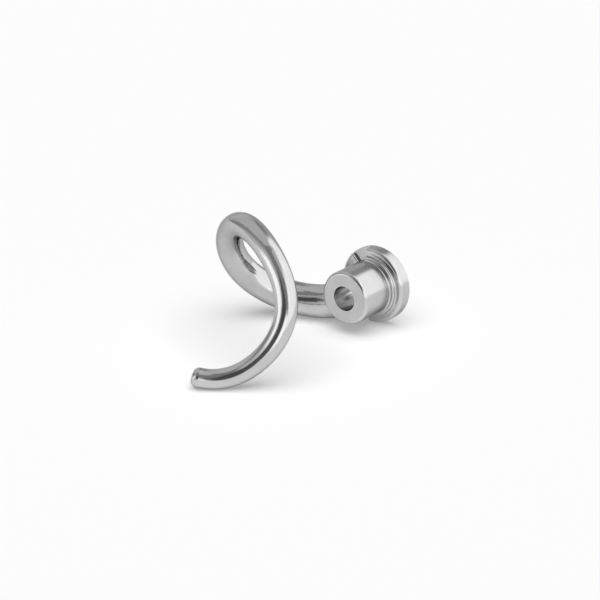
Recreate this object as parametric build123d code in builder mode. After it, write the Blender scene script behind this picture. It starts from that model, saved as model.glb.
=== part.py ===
"""Spiral dough hook for a stand mixer, cast in one piece and laid on its side.

The hub's axis runs along X, with the origin at the centre of the bore on the drive end. The arm leaves the
hub's side, winds once around and runs out toward +X. The hook rests on the flange's rim, on the root of its
arm and on the arm near the tip. Angles around the hub start at +Y and rise over the top.
"""

import os
from math import atan2, cos, degrees, hypot, radians, sin

from build123d import *

# Hub: a sleeve that slides onto the mixer's drive shaft
hub_d = 28.0
hub_length = 29.5  # from the drive end to the open end
hub_edge_r = 1.9
bore_d = 13.1

# Flange at the drive end: a thin plate under a tall collar, which gives way to a recess and a low pad
plate_height = 2.5
collar_step = 5.0  # above the plate
collar_width = 3.8  # outside the ring
collar_edge_r = 2.0
plate_edge_r = 0.8
pad_step = 2.0  # above the plate
pad_edge_r = 1.1
recess_start = 99.0
recess_arc = 36.5
pad_arc = 132.5

# Raised ring where the collar meets the hub
ring_step = 1.9  # above the collar
ring_width = 2.2
ring_edge_r = 0.8

# Seat for the shaft's cross pin: a slot in the drive end, then a turn under the lip that it leaves
slot_width = 4.6
slot_reach = 21.0
slot_depth = 8.0
lip_height = 3.0
lock_turn = 50.0

# Arm: a round bar that thins toward a blunt tip
arm_reach = 124.0  # along the hub's axis to the end of the tip
arm_spread = 55.0  # out to the side
arm_rise = 43.0  # above the hub's axis
arm_root_d = 19.2
arm_middle_d = 12.8
arm_tip_d = 9.6
root_fillet_r = 2.0
tip_edge_r = 3.2

# Turns of the arm's centre line from inside the hub to the tip, as shares of its reach, spread and rise
arm_turns = [
    (0.097, -0.064, -0.070),
    (0.185, -0.591, -0.244),
    (0.331, -1.000, 0.093),
    (0.448, -0.973, 0.605),
    (0.556, -0.600, 1.000),
    (0.649, -0.109, 0.884),
    (0.734, 0.227, 0.360),
    (0.851, 0.091, -0.186),
    (1.000, -0.329, -0.321),
]

hub_r = hub_d / 2
ring_r = hub_r + ring_width
flange_r = ring_r + collar_width
collar_top = plate_height + collar_step
ring_top = collar_top + ring_step
core_top = ring_top + 2 * ring_edge_r
pad_top = plate_height + pad_step
pad_start = recess_start + recess_arc


def corner_at(height, radius):
    """Corner of the turned profile at this height along the hub and this distance from its axis."""
    return vertices().sort_by_distance((height, radius))[0]


def on_hub(edge):
    """True for an edge whose middle lies on the outside of the sleeve."""
    middle = edge @ 0.5
    return abs(hypot(middle.Y, middle.Z) - hub_r) < 0.01


def at_tip(edge):
    """True for an edge of the arm's flat end."""
    return (edge @ 0.5 - arm_path.line @ 1).length < arm_tip_d


def on_pad_step(edge):
    """True for the pad's rim and for the two outer edges of the step at its start."""
    middle = edge @ 0.5
    at_start = abs(degrees(atan2(middle.Z, middle.Y)) - pad_start) < 0.01
    on_rim = abs(hypot(middle.Y, middle.Z) - flange_r) < 0.01 and abs(middle.X - pad_top) < 0.01
    return on_rim or at_start and middle.X > plate_height + 0.01 and not on_hub(edge)


with BuildLine() as arm_path:
    Spline(*[(arm_reach * x, arm_spread * y, arm_rise * z) for x, y, z in arm_turns])

with BuildPart() as flange:
    # Plate, collar and ring, turned as one profile with rounded edges and a core inside the sleeve
    with BuildSketch(Plane.XY):
        with BuildLine():
            Polyline(
                (0, 0),
                (0, flange_r),
                (collar_top, flange_r),
                (collar_top, ring_r),
                (ring_top, ring_r),
                (ring_top, hub_r),
                (core_top, hub_r),
                (core_top, 0),
                close=True,
            )
        make_face()
        fillet(corner_at(0, flange_r), plate_edge_r)
        fillet(corner_at(collar_top, flange_r), collar_edge_r)
        fillet(corner_at(collar_top, ring_r), ring_edge_r)
        fillet(corner_at(ring_top, ring_r), ring_edge_r)
        fillet(corner_at(ring_top, hub_r), ring_edge_r)
    revolve(axis=Axis.X)

    # Over the recess and the pad the collar and the ring are cut down to the plate
    with BuildSketch(Plane.YZ.offset(plate_height)):
        with BuildLine():
            outer = CenterArc((0, 0), 2 * flange_r, recess_start, recess_arc + pad_arc)
            inner = CenterArc((0, 0), hub_r, recess_start, recess_arc + pad_arc)
            Line(outer @ 0, inner @ 0)
            Line(outer @ 1, inner @ 1)
        make_face()
    extrude(amount=collar_step + ring_step + ring_edge_r, mode=Mode.SUBTRACT)

    # Pad from a rounded step at the recess to the far end of the collar
    with BuildSketch(Plane.YZ.offset(plate_height)):
        with BuildLine():
            outer = CenterArc((0, 0), flange_r, pad_start, pad_arc)
            inner = CenterArc((0, 0), hub_r, pad_start, pad_arc)
            Line(outer @ 0, inner @ 0)
            Line(outer @ 1, inner @ 1)
        make_face()
    extrude(amount=pad_step)
    fillet(flange.edges().filter_by(on_pad_step), pad_edge_r)

with BuildPart() as dough_hook:
    # Sleeve with a rounded mouth
    with BuildSketch(Plane.XY):
        with BuildLine():
            Polyline((0, 0), (hub_length, 0), (hub_length, hub_r), (0, hub_r), close=True)
        make_face()
        fillet(corner_at(hub_length, hub_r), hub_edge_r)
    revolve(axis=Axis.X)

    # Arm, swept along its centre line through three round sections and blended into the hub
    for place, width in ((0, arm_root_d), (0.5, arm_middle_d), (1, arm_tip_d)):
        along = arm_path.line % place
        across = Vector(1, 0, 0).cross(along)
        with BuildSketch(Plane(arm_path.line @ place, x_dir=across, z_dir=along)):
            Circle(width / 2)
    sweep(path=arm_path.wires()[0], multisection=True)
    swept = dough_hook.edges(Select.LAST)
    root_edges = swept.filter_by(on_hub)
    tip_edges = swept.filter_by(at_tip)
    fillet(root_edges, root_fillet_r)
    fillet(tip_edges, tip_edge_r)

    # Flange, closed around the drive end of the sleeve
    add(flange.part)

    # Bore right through the hub
    with BuildSketch(Plane.YZ):
        Circle(bore_d / 2)
    extrude(amount=hub_length, mode=Mode.SUBTRACT)

    # Pin seat: the slot that lets the pin in, and the room to turn it under the lip
    with BuildSketch(Plane.YZ):
        Rectangle(slot_reach, slot_width)
    extrude(amount=slot_depth, mode=Mode.SUBTRACT)
    with BuildSketch(Plane.YZ.offset(lip_height)):
        for side in (1, -1):
            far = side * slot_reach
            Polygon(
                (0, 0),
                (far, 0),
                (far * cos(radians(lock_turn)), far * sin(radians(lock_turn))),
                align=None,
            )
        Rectangle(slot_reach, slot_width, rotation=lock_turn)
        Circle(slot_reach / 2, mode=Mode.INTERSECT)
    extrude(amount=slot_depth - lip_height, mode=Mode.SUBTRACT)

dough_hook.part.label = "dough_hook"
os.makedirs("parts", exist_ok=True)
export_step(dough_hook.part, "parts/dough_hook.step")
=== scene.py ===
"""Spiral dough hook for a stand mixer: polished steel on a pale studio floor.

The hook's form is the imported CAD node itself. This file gives it its steel, with the turned faces of the
hub and the polish of the arm told apart by their place on the hook, and sets up the floor, the light and
the camera.
"""

import math

import bmesh
import bpy
from bpy.props import FloatProperty, FloatVectorProperty, PointerProperty
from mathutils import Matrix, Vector


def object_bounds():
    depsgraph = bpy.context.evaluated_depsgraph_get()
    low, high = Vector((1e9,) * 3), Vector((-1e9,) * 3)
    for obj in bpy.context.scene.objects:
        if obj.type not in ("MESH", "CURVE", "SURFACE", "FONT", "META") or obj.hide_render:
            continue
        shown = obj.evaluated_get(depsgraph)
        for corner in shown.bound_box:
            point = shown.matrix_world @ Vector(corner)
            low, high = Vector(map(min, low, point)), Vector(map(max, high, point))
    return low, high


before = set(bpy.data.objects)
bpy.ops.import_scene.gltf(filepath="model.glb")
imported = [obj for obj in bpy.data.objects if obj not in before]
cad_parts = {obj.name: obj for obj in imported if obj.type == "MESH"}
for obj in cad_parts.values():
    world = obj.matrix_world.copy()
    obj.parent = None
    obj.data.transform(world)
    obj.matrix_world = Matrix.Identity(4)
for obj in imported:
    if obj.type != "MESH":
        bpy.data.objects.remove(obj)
cad_low, cad_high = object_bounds()

bl_info = {
    "name": "Dough Hook",
    "version": (1, 0, 0),
    "blender": (4, 5, 0),
    "location": "3D View > Sidebar > Dough Hook",
    "description": "Steel finish, floor, light and camera for a spiral dough hook",
    "category": "Object",
}

HOOK = "dough_hook"
MILLIMETRES = 1000.0  # to the metre
WHITE = (1, 1, 1, 1)

# Places on the hook, in millimetres along the hub's axis and away from it
MOUTH = 29.5
HUB_RADIUS = 14.0
BORE_RADIUS = 6.55
RING_RADIUS = 16.2
RING_TOP = 9.4
FLANGE_RADIUS = 20.0
COLLAR_TOP = 7.5

# How far the crest of a rounded edge lies inside its corner, in millimetres
MOUTH_CREST = 0.55
RING_CREST = 0.2
COLLAR_CREST = 0.6
PLATE_CREST = 0.2

# Rims that rub bright, in millimetres: along the axis, away from it and the width of the bright band
RIMS = (
    (MOUTH - MOUTH_CREST, HUB_RADIUS - MOUTH_CREST, 1.5),
    (MOUTH, BORE_RADIUS, 0.45),
    (0.0, BORE_RADIUS, 0.45),
    (RING_TOP - RING_CREST, RING_RADIUS - RING_CREST, 0.6),
    (COLLAR_TOP - COLLAR_CREST, FLANGE_RADIUS - COLLAR_CREST, 1.2),
    (PLATE_CREST, FLANGE_RADIUS - PLATE_CREST, 0.9),
)

# Limits of the turned, faced and bored places, in millimetres
MARGIN = 0.1  # past a face, so that all of the face is inside
NARROWING = (0.4, 0.8)  # above the ring, from the flange's width to the hub's
FACE_FADE = (0.03, 0.12)  # into the hub from either end
BORE_FADE = (0.02, 0.12)  # out from the bore

# Noise on the steel, with its scale to the millimetre
LINES = {"Scale": 9.0, "Detail": 3.0}
MARKS = {"Scale": 1.6, "Detail": 6.0, "Roughness": 0.7}
WAVES = {"Scale": 0.09, "Detail": 2.0}
LINE_DRIFT = 0.12  # of the turning lines around the hub, to the radian

# Span of the noise that counts, and what it multiplies a value by at its low and at its high
NOISE_SPAN = (0.3, 0.7)
TONE_SPREAD = (0.96, 1.04)
CUT_TONE_SPREAD = (0.94, 1.06)  # of the faced ends and of the bore
ROUGHNESS_SPREAD = (0.85, 1.2)
WEAR_SPAN = (0.25, 0.75)
WEAR_SPREAD = (0.6, 1.3)
WEAR_TONE = 1.08  # of a worn rim, against the steel around it

# Softboxes and dark corners around the hook, in the order they are laid over the room's light: turn from
# the camera, height, width and rise in degrees, lean of the sides, tilt of the foot and the top, level
SOFTBOXES = {
    "right_wall": (75, 28, 141, 80, 0.2, 0.1, 1.45),
    "right_strip": (14, 22, 22, 70, 0.6, 0.0, 1.65),
    "left_strip": (-84, 6, 24, 44, 0.75, 0.0, 1.65),
    "left_corner": (-104, 28, 20, 72, 0.95, 0.0, 0.36),
    "camera_side": (-30, 56, 100, 40, 0.0, -0.3, 0.3),
    "camera": (-26, 27, 46, 36, 0.35, -0.5, 0.1),
    "far_corner": (166, 43, 26, 28, 0.0, 0.0, 0.36),
    "far_left": (-162, 10, 36, 36, 0.0, 0.0, 0.82),
}

# Camera: width of its sensor in millimetres, nearest and farthest place that it sees in metres
SENSOR_WIDTH = 36
CLIP_START = 0.01
CLIP_END = 50


class SteelSettings(bpy.types.PropertyGroup):
    """Finish of the hook's steel."""

    colour: FloatVectorProperty(
        name="Steel",
        description="Colour of the polished steel",
        subtype="COLOR",
        size=4,
        min=0,
        max=1,
        default=(0.55, 0.55, 0.55, 1),
    )
    edge: FloatVectorProperty(
        name="Edge",
        description="Tint of the steel where it turns away from the eye",
        subtype="COLOR",
        size=4,
        min=0,
        max=1,
        default=(0.52, 0.52, 0.52, 1),
    )
    polish: FloatProperty(
        name="Polish",
        description="Roughness of the polished arm and of the worn rims",
        subtype="FACTOR",
        min=0,
        max=1,
        default=0.11,
    )
    turning: FloatProperty(
        name="Turning",
        description="Roughness of the turned outside of the hub and of its bore",
        subtype="FACTOR",
        min=0,
        max=1,
        default=0.2,
    )
    satin: FloatProperty(
        name="Satin",
        description="Roughness of the faced ends of the hub",
        subtype="FACTOR",
        min=0,
        max=1,
        default=0.36,
    )
    grain: FloatProperty(
        name="Grain",
        description="Depth of the turning lines and polishing marks",
        unit="LENGTH",
        min=0,
        precision=6,
        default=0.0000025,
    )
    wave: FloatProperty(
        name="Wave",
        description="Depth of the slow waves that casting and polishing by hand leave in the arm",
        unit="LENGTH",
        min=0,
        precision=6,
        default=0.00012,
    )


class StageSettings(bpy.types.PropertyGroup):
    """Floor, light and camera."""

    floor_size: FloatProperty(
        name="Floor",
        description="Side of the square floor",
        unit="LENGTH",
        min=1,
        default=16.0,
    )
    floor_colour: FloatVectorProperty(
        name="Floor Colour",
        description="Colour of the floor",
        subtype="COLOR",
        size=4,
        min=0,
        max=1,
        default=(0.97, 0.97, 0.97, 1),
    )
    floor_lift: FloatProperty(
        name="Floor Lift",
        description="Share of plain white in the floor that the camera and the steel see",
        subtype="FACTOR",
        min=0,
        max=1,
        default=0.27,
    )
    room: FloatProperty(
        name="Room",
        description="Level of the light between the softboxes",
        min=0,
        default=0.67,
    )
    top_light: FloatProperty(
        name="Top Light",
        description="Level of the soft light from above on the floor, where 1 shows a colour as it is",
        min=0,
        default=1.0,
    )
    top_spread: FloatProperty(
        name="Top Spread",
        description="Width of the soft light above, as an angle",
        subtype="ANGLE",
        min=0,
        max=math.pi,
        default=math.radians(70),
    )
    top_lean: FloatProperty(
        name="Top Lean",
        description="Lean of the soft light above toward the camera",
        subtype="ANGLE",
        default=math.radians(18),
    )
    blur: FloatProperty(
        name="Softbox Blur",
        description="Reach of the soft edge of each softbox, inward and outward",
        subtype="ANGLE",
        min=0,
        default=math.radians(6),
    )
    aim: FloatVectorProperty(
        name="Aim",
        description="Point at the middle of the picture",
        subtype="TRANSLATION",
        size=3,
        default=(0.03075, -0.02769, -0.00742),
    )
    azimuth: FloatProperty(
        name="Azimuth",
        description="Direction the camera stands in, around the hook",
        subtype="ANGLE",
        default=math.radians(128.9),
    )
    elevation: FloatProperty(
        name="Elevation",
        description="Height of the camera above the horizon",
        subtype="ANGLE",
        default=math.radians(22.3),
    )
    distance: FloatProperty(
        name="Distance",
        description="Distance from the camera to its aim",
        unit="LENGTH",
        min=0.1,
        default=0.8,
    )
    lens: FloatProperty(
        name="Lens",
        description="Focal length of the camera",
        subtype="DISTANCE_CAMERA",
        min=1,
        default=92.74,
    )


def add_node(tree, kind, inputs=None, **settings):
    """Adds a node, with its settings, and links or sets its inputs by name or number."""
    node = tree.nodes.new(kind)
    for name, value in settings.items():
        setattr(node, name, value)  # a group's sockets come with its tree
    for name, value in (inputs or {}).items():
        if isinstance(value, bpy.types.NodeSocket):
            tree.links.new(value, node.inputs[name])
        else:
            node.inputs[name].default_value = value
    return node


def calculate(tree, operation, *values):
    """Output of a Math node."""
    return add_node(tree, "ShaderNodeMath", dict(enumerate(values)), operation=operation).outputs[0]


def ramp(tree, value, start, end, low=0.0, high=1.0):
    """Value that goes smoothly from low at start to high at end."""
    inputs = {"Value": value, "From Min": start, "From Max": end, "To Min": low, "To Max": high}
    return add_node(tree, "ShaderNodeMapRange", inputs, interpolation_type="SMOOTHSTEP").outputs["Result"]


def blend(tree, share, low, high):
    """Value between low and high by share."""
    return add_node(tree, "ShaderNodeMix", {"Factor": share, "A": low, "B": high}).outputs["Result"]


def scaled(tree, vector, scale):
    """Vector or colour times a value."""
    return add_node(tree, "ShaderNodeVectorMath", {0: vector, "Scale": scale}, operation="SCALE").outputs[0]


def hypotenuse(tree, across, up):
    """Length of a flat vector from its two parts."""
    squares = [calculate(tree, "MULTIPLY", part, part) for part in (across, up)]
    return calculate(tree, "SQRT", calculate(tree, "ADD", *squares))


def noise(tree, place, look):
    """Noise around this place, with the look's scale and detail."""
    return add_node(tree, "ShaderNodeTexNoise", {"Vector": place, **look}).outputs[0]


def empty_tree(owner):
    """Turns on the nodes of a material or world, empties its tree and gives it back."""
    owner.use_nodes = True
    owner.node_tree.nodes.clear()
    return owner.node_tree


def node_group(name, inputs, outputs):
    """New shader group with float sockets: the group, its inputs by name and its output node."""
    group = bpy.data.node_groups.new(name, "ShaderNodeTree")
    for socket in inputs:
        group.interface.new_socket(socket, in_out="INPUT", socket_type="NodeSocketFloat")
    for socket in outputs:
        group.interface.new_socket(socket, in_out="OUTPUT", socket_type="NodeSocketFloat")
    entry = group.nodes.new("NodeGroupInput")
    return group, entry.outputs, group.nodes.new("NodeGroupOutput")


def rim_wear_group():
    """Mask of a worn round rim, from the distance to a circle around the hub's axis."""
    names = ("Along", "Radius", "Breakup", "Rim Along", "Rim Radius", "Width")
    group, entry, output = node_group("rim_wear", names, ("Mask",))
    along = calculate(group, "SUBTRACT", entry["Along"], entry["Rim Along"])
    across = calculate(group, "SUBTRACT", entry["Radius"], entry["Rim Radius"])
    reach = hypotenuse(group, along, across)
    width = calculate(group, "MULTIPLY", entry["Width"], entry["Breakup"])
    group.links.new(ramp(group, reach, 0.0, width, 1.0, 0.0), output.inputs["Mask"])
    return group


def softbox_group():
    """Light with a softbox laid over it, from the direction's turn and height."""
    names = (
        "Light",
        "Turn",
        "Height",
        "Box Turn",
        "Box Height",
        "Box Width",
        "Box Rise",
        "Lean",
        "Tilt",
        "Blur",
        "Level",
    )
    group, entry, output = node_group("softbox", names, ("Light",))
    aside = calculate(group, "SUBTRACT", entry["Turn"], entry["Box Turn"])
    aside = calculate(group, "WRAP", aside, math.pi, -math.pi)
    above = calculate(group, "SUBTRACT", entry["Height"], entry["Box Height"])
    sideways = calculate(group, "SUBTRACT", aside, calculate(group, "MULTIPLY", above, entry["Lean"]))
    upward = calculate(group, "SUBTRACT", above, calculate(group, "MULTIPLY", aside, entry["Tilt"]))
    masks = []
    for from_centre, size in ((sideways, "Box Width"), (upward, "Box Rise")):
        off = calculate(group, "ABSOLUTE", from_centre)
        half = calculate(group, "MULTIPLY", entry[size], 0.5)
        inside = calculate(group, "SUBTRACT", half, entry["Blur"])
        outside = calculate(group, "ADD", half, entry["Blur"])
        masks.append(ramp(group, off, inside, outside, 1.0, 0.0))
    share = calculate(group, "MULTIPLY", *masks)
    group.links.new(blend(group, share, entry["Light"], entry["Level"]), output.inputs["Light"])
    return group


def towards(azimuth, elevation):
    """Unit vector from the hook to a place in this direction, as the camera's angles give it."""
    level = math.cos(elevation)
    return Vector((math.sin(azimuth) * level, -math.cos(azimuth) * level, math.sin(elevation)))


def hub_finishes(tree, along, radius):
    """Masks of the turned hub and flange, of the two faced ends and of the bore."""
    start, end = (RING_TOP + above for above in NARROWING)
    outside = ramp(tree, along, start, end, FLANGE_RADIUS + MARGIN, HUB_RADIUS + MARGIN)
    before_mouth = calculate(tree, "LESS_THAN", along, MOUTH + MARGIN)
    turned = calculate(tree, "MULTIPLY", before_mouth, calculate(tree, "LESS_THAN", radius, outside))
    shallow, deep = FACE_FADE
    mouth_face = ramp(tree, along, MOUTH - deep, MOUTH - shallow)
    drive_face = ramp(tree, along, shallow, deep, 1.0, 0.0)
    faced = calculate(tree, "ADD", mouth_face, drive_face)
    near, far = (BORE_RADIUS + out for out in BORE_FADE)
    bored = ramp(tree, radius, near, far, 1.0, 0.0)
    return turned, faced, bored


def worn_rims(tree, along, radius, marks):
    """Mask of the rims that rub bright, broken up by the polishing marks."""
    wear = 0.0
    group = rim_wear_group()
    breakup = ramp(tree, marks, *WEAR_SPAN, *WEAR_SPREAD)
    for rim_along, rim_radius, width in RIMS:
        inputs = {
            "Along": along,
            "Radius": radius,
            "Breakup": breakup,
            "Rim Along": rim_along,
            "Rim Radius": rim_radius,
            "Width": width,
        }
        rim = add_node(tree, "ShaderNodeGroup", inputs, node_tree=group)
        wear = calculate(tree, "MAXIMUM", wear, rim.outputs["Mask"])
    return wear


def steel_material(settings):
    """Polished steel with turning lines on the hub, satin ends and bright worn rims."""
    material = bpy.data.materials.new("polished_steel")
    tree = empty_tree(material)
    place = scaled(tree, add_node(tree, "ShaderNodeTexCoord").outputs["Object"], MILLIMETRES)
    parts = add_node(tree, "ShaderNodeSeparateXYZ", {0: place}).outputs
    along = parts["X"]
    radius = hypotenuse(tree, parts["Y"], parts["Z"])
    turn = calculate(tree, "ARCTAN2", parts["Z"], parts["Y"])

    # Finish by place: the hub was turned, its ends were faced and its bore was cut
    turned, faced, bored = hub_finishes(tree, along, radius)
    cut = calculate(tree, "MULTIPLY", turned, calculate(tree, "MAXIMUM", faced, bored))

    # Turning lines run round the axis, polishing marks run every way
    drift = calculate(tree, "MULTIPLY", turn, LINE_DRIFT)
    rings = add_node(tree, "ShaderNodeCombineXYZ", {0: along, 1: radius, 2: drift}).outputs[0]
    lines = noise(tree, rings, LINES)
    marks = noise(tree, place, MARKS)
    waves = noise(tree, place, WAVES)
    grain = blend(tree, turned, marks, lines)
    wear = worn_rims(tree, along, radius, marks)

    # The faced ends are satin, and the bore is as smooth as the outside of the hub
    rough = blend(tree, turned, settings.polish, settings.turning)
    rough = blend(tree, cut, rough, settings.satin)
    rough = blend(tree, calculate(tree, "MULTIPLY", turned, bored), rough, settings.turning)
    rough = calculate(tree, "MULTIPLY", rough, ramp(tree, marks, *NOISE_SPAN, *ROUGHNESS_SPREAD))
    rough = blend(tree, wear, rough, settings.polish)

    # Waves, grain and marks change the tone a little, and worn rims are lighter
    tone = ramp(tree, waves, *NOISE_SPAN, *TONE_SPREAD)
    tone = calculate(tree, "MULTIPLY", tone, ramp(tree, grain, *NOISE_SPAN, *TONE_SPREAD))
    cut_tone = blend(tree, cut, 1.0, ramp(tree, marks, *NOISE_SPAN, *CUT_TONE_SPREAD))
    tone = calculate(tree, "MULTIPLY", tone, cut_tone)
    tone = calculate(tree, "MULTIPLY", tone, blend(tree, wear, 1.0, WEAR_TONE))
    colour = scaled(tree, settings.colour[:3], tone)

    # Slow waves on the arm only, with the grain over everything
    swell = calculate(tree, "MULTIPLY", waves, blend(tree, turned, settings.wave, 0.0))
    height = calculate(tree, "MULTIPLY_ADD", grain, settings.grain, swell)
    bump = add_node(tree, "ShaderNodeBump", {"Strength": 1.0, "Distance": 1.0, "Height": height})
    inputs = {
        "Base Color": colour,
        "Metallic": 1.0,
        "Roughness": rough,
        "Specular Tint": settings.edge,
        "Normal": bump.outputs[0],
    }
    shader = add_node(tree, "ShaderNodeBsdfPrincipled", inputs)
    add_node(tree, "ShaderNodeOutputMaterial", {"Surface": shader.outputs[0]})
    return material


def floor_material(settings):
    """Matt white floor, lifted toward plain white where the camera or the steel sees it."""
    material = bpy.data.materials.new("floor_white")
    tree = empty_tree(material)
    matt = add_node(tree, "ShaderNodeBsdfDiffuse", {"Color": settings.floor_colour})
    white = add_node(tree, "ShaderNodeEmission", {"Color": WHITE, "Strength": 1.0})
    path = add_node(tree, "ShaderNodeLightPath").outputs
    seen = calculate(tree, "MAXIMUM", path["Is Camera Ray"], path["Is Glossy Ray"])
    seen = calculate(tree, "MAXIMUM", seen, path["Is Transmission Ray"])
    lift = calculate(tree, "MULTIPLY", seen, settings.floor_lift)
    mix = add_node(tree, "ShaderNodeMixShader", {0: lift, 1: matt.outputs[0], 2: white.outputs[0]})
    add_node(tree, "ShaderNodeOutputMaterial", {"Surface": mix.outputs[0]})
    return material


def studio_world(settings):
    """Even grey room with softboxes and dark corners around the hook, for the steel to show."""
    world = bpy.data.worlds.new("studio")
    tree = empty_tree(world)
    direction = add_node(tree, "ShaderNodeTexCoord").outputs["Generated"]
    parts = add_node(tree, "ShaderNodeSeparateXYZ", {0: direction}).outputs
    camera_turn = math.atan2(-math.cos(settings.azimuth), math.sin(settings.azimuth))
    turn = calculate(tree, "SUBTRACT", calculate(tree, "ARCTAN2", parts["Y"], parts["X"]), camera_turn)
    height = calculate(tree, "ARCSINE", parts["Z"])
    light = settings.room
    group = softbox_group()
    for name, (box_turn, box_height, width, rise, lean, tilt, level) in SOFTBOXES.items():
        inputs = {
            "Light": light,
            "Turn": turn,
            "Height": height,
            "Box Turn": math.radians(box_turn),
            "Box Height": math.radians(box_height),
            "Box Width": math.radians(width),
            "Box Rise": math.radians(rise),
            "Lean": lean,
            "Tilt": tilt,
            "Blur": settings.blur,
            "Level": level,
        }
        light = add_node(tree, "ShaderNodeGroup", inputs, node_tree=group, label=name).outputs["Light"]
    background = add_node(tree, "ShaderNodeBackground", {"Color": WHITE, "Strength": light})
    add_node(tree, "ShaderNodeOutputWorld", {"Surface": background.outputs[0]})
    return world


def floor_object(settings):
    """Square floor at the height of the hook's lowest place."""
    mesh = bpy.data.meshes.new("floor")
    shape = bmesh.new()
    bmesh.ops.create_grid(shape, x_segments=1, y_segments=1, size=settings.floor_size / 2)
    bmesh.ops.translate(shape, vec=(0, 0, cad_low.z), verts=shape.verts)
    shape.to_mesh(mesh)
    shape.free()
    mesh.materials.append(floor_material(settings))
    return bpy.data.objects.new("floor", mesh)


def camera_object(settings):
    """Camera that looks at its aim from the direction and distance in the settings."""
    data = bpy.data.cameras.new("camera")
    data.lens = settings.lens
    data.sensor_width = SENSOR_WIDTH
    data.clip_start = CLIP_START
    data.clip_end = CLIP_END
    camera = bpy.data.objects.new("camera", data)
    back = towards(settings.azimuth, settings.elevation)
    camera.location = Vector(settings.aim) + back * settings.distance
    camera.rotation_mode = "QUATERNION"
    camera.rotation_quaternion = (-back).to_track_quat("-Z", "Y")
    return camera


def top_light_object(settings):
    """Wide soft light from above, which gives the hook its shadow on the floor."""
    data = bpy.data.lights.new("top_light", "SUN")
    data.energy = math.pi * settings.top_light / math.cos(settings.top_lean)
    data.angle = settings.top_spread
    light = bpy.data.objects.new("top_light", data)
    light.visible_glossy = False  # the steel shows the softboxes only
    light.rotation_mode = "QUATERNION"
    above = towards(settings.azimuth, math.pi / 2 - settings.top_lean)
    light.rotation_quaternion = above.to_track_quat("Z", "Y")
    return light


class DOUGHHOOK_OT_polish(bpy.types.Operator):
    """Give the hook its steel"""

    bl_idname = "doughhook.polish"
    bl_label = "Polish Hook"
    bl_options = {"REGISTER", "UNDO"}

    def execute(self, context):
        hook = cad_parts.get(HOOK)
        if hook is None:
            raise RuntimeError("the frame has no hook to polish")
        steel = steel_material(context.scene.dough_hook_steel)
        for slot in hook.material_slots:
            slot.material = steel
        return {"FINISHED"}


class DOUGHHOOK_OT_stage(bpy.types.Operator):
    """Set up the floor, the light and the camera"""

    bl_idname = "doughhook.stage"
    bl_label = "Set Stage"
    bl_options = {"REGISTER", "UNDO"}

    def execute(self, context):
        scene = context.scene
        settings = scene.dough_hook_stage
        floor = floor_object(settings)
        scene.collection.objects.link(floor)
        camera = camera_object(settings)
        scene.collection.objects.link(camera)
        scene.camera = camera
        scene.collection.objects.link(top_light_object(settings))
        scene.world = studio_world(settings)
        scene.world.cycles_visibility.diffuse = False  # the floor has the light from above only
        scene.view_settings.view_transform = "Standard"
        return {"FINISHED"}


class DOUGHHOOK_PT_panel(bpy.types.Panel):
    """Lists the hook's finish and its stage"""

    bl_idname = "DOUGHHOOK_PT_panel"
    bl_label = "Dough Hook"
    bl_space_type = "VIEW_3D"
    bl_region_type = "UI"
    bl_category = "Dough Hook"

    def draw(self, context):
        layout = self.layout
        for operator, settings in (
            (DOUGHHOOK_OT_polish, context.scene.dough_hook_steel),
            (DOUGHHOOK_OT_stage, context.scene.dough_hook_stage),
        ):
            box = layout.box()
            for name in settings.__annotations__:
                box.prop(settings, name)
            box.operator(operator.bl_idname)


CLASSES = (SteelSettings, StageSettings, DOUGHHOOK_OT_polish, DOUGHHOOK_OT_stage, DOUGHHOOK_PT_panel)


def register():
    """Adds the classes and the scene's settings."""
    for cls in CLASSES:
        bpy.utils.register_class(cls)
    bpy.types.Scene.dough_hook_steel = PointerProperty(type=SteelSettings)
    bpy.types.Scene.dough_hook_stage = PointerProperty(type=StageSettings)


def unregister():
    """Takes the settings and the classes away."""
    del bpy.types.Scene.dough_hook_stage
    del bpy.types.Scene.dough_hook_steel
    for cls in reversed(CLASSES):
        bpy.utils.unregister_class(cls)


def main():
    """Builds the scene."""
    register()
    bpy.ops.doughhook.polish()
    bpy.ops.doughhook.stage()


if __name__ == "__main__":
    main()
